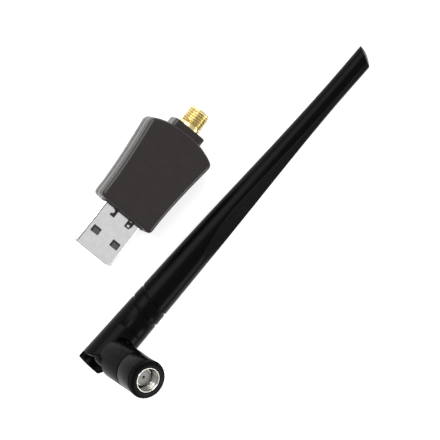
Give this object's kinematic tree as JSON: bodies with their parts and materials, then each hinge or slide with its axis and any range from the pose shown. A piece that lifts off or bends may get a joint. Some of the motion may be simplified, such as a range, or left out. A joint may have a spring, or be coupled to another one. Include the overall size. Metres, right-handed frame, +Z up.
{
  "type": "usb wifi adapter",
  "caption": "USB Wi-Fi adapter with a threaded antenna jack, and its detachable elbow antenna with a knurled coupling nut lying beside it.",
  "frame": {"origin": "middle of the adapter housing's flat underside", "axes": "+Y from the USB plug towards the antenna jack, +Z up out of the housing's top face, +X towards the antenna lying beside it"},
  "size_m": [0.0424, 0.1118, 0.027],
  "materials": {
    "housing_plastic": "fine-grained satin black",
    "antenna_plastic": "satin black",
    "insulator_plastic": "matt black",
    "chip_epoxy": "matt moulded epoxy",
    "circuit_board": "green solder mask",
    "ptfe": "waxy white",
    "coax_jacket": "smooth jacket",
    "silicone": "soft silicone",
    "plug_steel": "bright nickel-plated sheet steel",
    "nickel": "bright nickel plating",
    "steel": "bright drawn steel",
    "gold": "gold plating on brass",
    "brass": "plain brass"
  },
  "bodies": {
    "adapter": {"top_cover": "housing_plastic", "bottom_cover": "housing_plastic", "circuit_board": "circuit_board", "wifi_chip": "chip_epoxy", "rf_front_end_chip": "chip_epoxy", "memory_chip": "chip_epoxy", "voltage_regulator": "chip_epoxy", "power_inductor": "insulator_plastic", "crystal": "nickel", "usb_shell": "plug_steel", "usb_insulator": "insulator_plastic", "usb_contact_1": "gold", "usb_contact_2": "gold", "usb_contact_3": "gold", "usb_contact_4": "gold", "jack_body": "gold", "jack_dielectric": "ptfe", "jack_centre_pin": "gold"},
    "whip": {"radome": "antenna_plastic", "hinge_fork": "antenna_plastic", "hinge_pin_left": "steel", "hinge_pin_right": "steel", "whip_coax": "coax_jacket", "dipole_sleeve": "brass", "radiator_rod": "brass"},
    "knuckle": {"knuckle": "antenna_plastic", "knuckle_coax": "coax_jacket", "plug_body": "nickel", "plug_dielectric": "ptfe", "plug_socket": "gold", "gasket": "silicone", "snap_ring": "steel"},
    "coupling_nut": {"nut_grip": "antenna_plastic", "nut_insert": "nickel"}
  },
  "joints": [
    {"name": "antenna_pull_off", "type": "slide", "parent": "adapter", "child": "whip", "axis": [0, 1, 0], "range_m": [0, 0.06]},
    {"name": "elbow_fold", "type": "hinge", "parent": "whip", "child": "knuckle", "pos_m": [0.02, -0.044, 0.00535], "axis": [0.9373, -0.0673, -0.3419], "range_deg": [0, 90]},
    {"name": "nut_spin", "type": "hinge", "parent": "knuckle", "child": "coupling_nut", "pos_m": [0.02, -0.044, 0.00535], "axis": [0.3428, 0.0014, 0.9394], "continuous": true}
  ]
}
